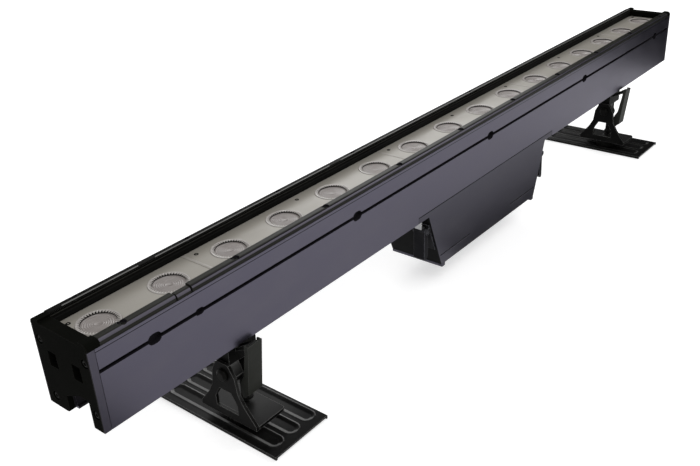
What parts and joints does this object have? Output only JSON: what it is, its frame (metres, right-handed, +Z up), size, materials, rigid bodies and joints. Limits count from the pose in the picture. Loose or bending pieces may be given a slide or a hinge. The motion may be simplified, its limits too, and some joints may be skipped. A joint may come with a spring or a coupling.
{
  "type": "led pixel bar",
  "caption": "Long extruded light bar with round lens windows in a row, a removable power pack held under it by clasps, and sliding clamp feet that tilt and swivel.",
  "frame": {"origin": "on the floor under the middle of the bar: the centre of the underside of the box around the whole object at rest", "axes": "+X along the bar, +Z up towards the lens windows, -Y towards the side that the picture shows"},
  "size_m": [1, 0.14, 0.1579],
  "materials": {
    "anodised": "satin dark grey anodising with a faint violet cast",
    "black_metal": "satin black powder coat",
    "black_plastic": "fine matt texture",
    "steel": "zinc plated",
    "frosted_lens": "frosted translucent plastic",
    "circuit_board": "green solder mask",
    "cell_wrap": "shrink wrap"
  },
  "bodies": {
    "bar": {"cap_screw_left_leg_front": "steel", "cap_screw_left_leg_rear": "steel", "cap_screw_left_top_front": "steel", "cap_screw_left_top_rear": "steel", "cap_screw_right_leg_front": "steel", "cap_screw_right_leg_rear": "steel", "cap_screw_right_top_front": "steel", "cap_screw_right_top_rear": "steel", "cell_block_left": "cell_wrap", "cell_block_right": "cell_wrap", "clasp_base_left": "black_metal", "clasp_base_right": "black_metal", "clasp_keeper_left": "steel", "clasp_keeper_right": "steel", "contact_block": "black_plastic", "data_socket": "black_metal", "driver_board": "circuit_board", "end_cap_left": "black_metal", "end_cap_right": "black_metal", "end_frame_left": "anodised", "end_frame_right": "anodised", "front_rail": "black_metal", "housing": "anodised", "led_board_1": "circuit_board", "led_board_2": "circuit_board", "led_board_3": "circuit_board", "led_board_4": "circuit_board", "led_board_5": "circuit_board", "lens_array_1": "frosted_lens", "lens_array_2": "frosted_lens", "lens_array_3": "frosted_lens", "lens_array_4": "frosted_lens", "lens_array_5": "frosted_lens", "pack_lid": "black_plastic", "pack_shell": "anodised", "pack_skid_left": "anodised", "pack_skid_right": "anodised", "power_board": "circuit_board", "power_socket": "black_metal", "rear_rail": "black_metal"},
    "clasp_lever_left": {"clasp_lever_left": "black_metal"},
    "clasp_hook_left": {"clasp_hook_left": "steel"},
    "foot_carriage_left": {"clamp_head_left": "black_metal", "spring_barrel_left": "black_metal", "tilt_bolt_left": "steel"},
    "clamp_jaw_left": {"clamp_jaw_left": "steel"},
    "clamp_lever_left": {"clamp_lever_left": "black_metal"},
    "foot_yoke_left": {"yoke_bracket_left": "black_metal", "swivel_pivot_left": "steel"},
    "foot_plate_left": {"foot_plate_left": "black_metal"},
    "clasp_lever_right": {"clasp_lever_right": "black_metal"},
    "clasp_hook_right": {"clasp_hook_right": "steel"},
    "foot_carriage_right": {"clamp_head_right": "black_metal", "spring_barrel_right": "black_metal", "tilt_bolt_right": "steel"},
    "clamp_jaw_right": {"clamp_jaw_right": "steel"},
    "clamp_lever_right": {"clamp_lever_right": "black_metal"},
    "foot_yoke_right": {"yoke_bracket_right": "black_metal", "swivel_pivot_right": "steel"},
    "foot_plate_right": {"foot_plate_right": "black_metal"}
  },
  "joints": [
    {"name": "foot_slide_left", "type": "slide", "parent": "bar", "child": "foot_carriage_left", "axis": [1, 0, 0], "range_m": [-0.08, 0.13]},
    {"name": "clamp_lever_left_swing", "type": "hinge", "parent": "foot_carriage_left", "child": "clamp_lever_left", "pos_m": [-0.365, -0.0344, 0.0835], "axis": [-1, 0, 0], "range_deg": [0, 120]},
    {"name": "clamp_jaw_left_slide", "type": "slide", "parent": "foot_carriage_left", "child": "clamp_jaw_left", "axis": [0, -1, 0], "range_m": [0, 0.0022]},
    {"name": "foot_tilt_left", "type": "hinge", "parent": "foot_carriage_left", "child": "foot_yoke_left", "pos_m": [-0.358, -0.0135, 0.055], "axis": [1, 0, 0], "range_deg": [-75, 75]},
    {"name": "foot_swivel_left", "type": "hinge", "parent": "foot_yoke_left", "child": "foot_plate_left", "pos_m": [-0.363, -0.0135, 0.003], "axis": [0, 0, 1], "range_deg": [-90, 90]},
    {"name": "clasp_lever_left_swing", "type": "hinge", "parent": "bar", "child": "clasp_lever_left", "pos_m": [-0.1141, -0.021, 0.0705], "axis": [0, 1, 0], "range_deg": [0, 75]},
    {"name": "clasp_hook_left_slide", "type": "slide", "parent": "bar", "child": "clasp_hook_left", "axis": [0, 0, 1], "range_m": [0, 0.002]},
    {"name": "foot_slide_right", "type": "slide", "parent": "bar", "child": "foot_carriage_right", "axis": [1, 0, 0], "range_m": [-0.125, 0.08]},
    {"name": "clamp_lever_right_swing", "type": "hinge", "parent": "foot_carriage_right", "child": "clamp_lever_right", "pos_m": [0.351, -0.0344, 0.0835], "axis": [-1, 0, 0], "range_deg": [0, 120]},
    {"name": "clamp_jaw_right_slide", "type": "slide", "parent": "foot_carriage_right", "child": "clamp_jaw_right", "axis": [0, -1, 0], "range_m": [0, 0.0022]},
    {"name": "foot_tilt_right", "type": "hinge", "parent": "foot_carriage_right", "child": "foot_yoke_right", "pos_m": [0.358, -0.0135, 0.055], "axis": [1, 0, 0], "range_deg": [-75, 75]},
    {"name": "foot_swivel_right", "type": "hinge", "parent": "foot_yoke_right", "child": "foot_plate_right", "pos_m": [0.353, -0.0135, 0.003], "axis": [0, 0, 1], "range_deg": [-90, 90]},
    {"name": "clasp_lever_right_swing", "type": "hinge", "parent": "bar", "child": "clasp_lever_right", "pos_m": [0.1261, -0.021, 0.0705], "axis": [0, -1, 0], "range_deg": [0, 75]},
    {"name": "clasp_hook_right_slide", "type": "slide", "parent": "bar", "child": "clasp_hook_right", "axis": [0, 0, 1], "range_m": [0, 0.002]}
  ],
  "couplings": [
    {"joint": "clamp_jaw_left_slide", "follows": "clamp_lever_left_swing", "m_per_rad": 0.00105},
    {"joint": "clasp_hook_left_slide", "follows": "clasp_lever_left_swing", "m_per_rad": 0.001525},
    {"joint": "clamp_jaw_right_slide", "follows": "clamp_lever_right_swing", "m_per_rad": 0.00105},
    {"joint": "clasp_hook_right_slide", "follows": "clasp_lever_right_swing", "m_per_rad": 0.001525}
  ]
}
